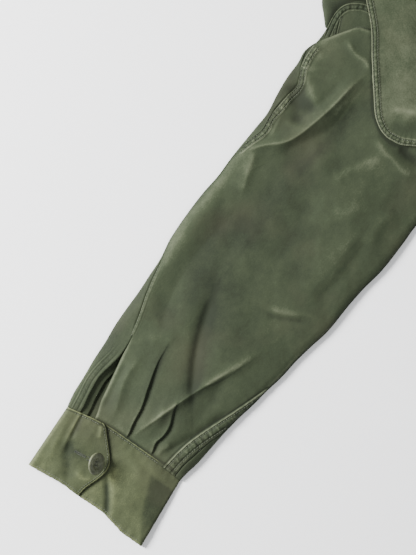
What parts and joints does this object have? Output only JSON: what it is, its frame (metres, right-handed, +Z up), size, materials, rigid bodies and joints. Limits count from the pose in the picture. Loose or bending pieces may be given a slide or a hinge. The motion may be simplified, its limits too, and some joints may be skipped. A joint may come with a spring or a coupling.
{
  "type": "military coat laid flat",
  "caption": "Cotton field coat laid flat on its back, with spread pleated sleeves, buttoned pointed cuffs, a turned-down collar, a lapped front and a storm flap on one side of the chest.",
  "frame": {"origin": "on the surface that the coat lies on, under the middle of its outline", "axes": "+X to the wearer's left, +Y to the collar, +Z up out of the coat's front"},
  "size_m": [1.4968, 0.85, 0.0282],
  "materials": {
    "cloth": "washed olive cotton sateen, matt, paler on its edges and seams",
    "button": "satin olive four-hole button"
  },
  "bodies": {
    "root": {"back": "cloth", "right_front": "cloth", "left_front": "cloth", "storm_flap": "cloth", "collar": "cloth", "right_topsleeve": "cloth", "right_undersleeve": "cloth", "right_cuff": "cloth", "left_topsleeve": "cloth", "left_undersleeve": "cloth", "left_cuff": "cloth", "right_cuff_button": "button", "left_cuff_button": "button", "front_button_1": "button", "front_button_2": "button", "front_button_3": "button", "front_button_4": "button", "front_button_5": "button"}
  },
  "joints": []
}
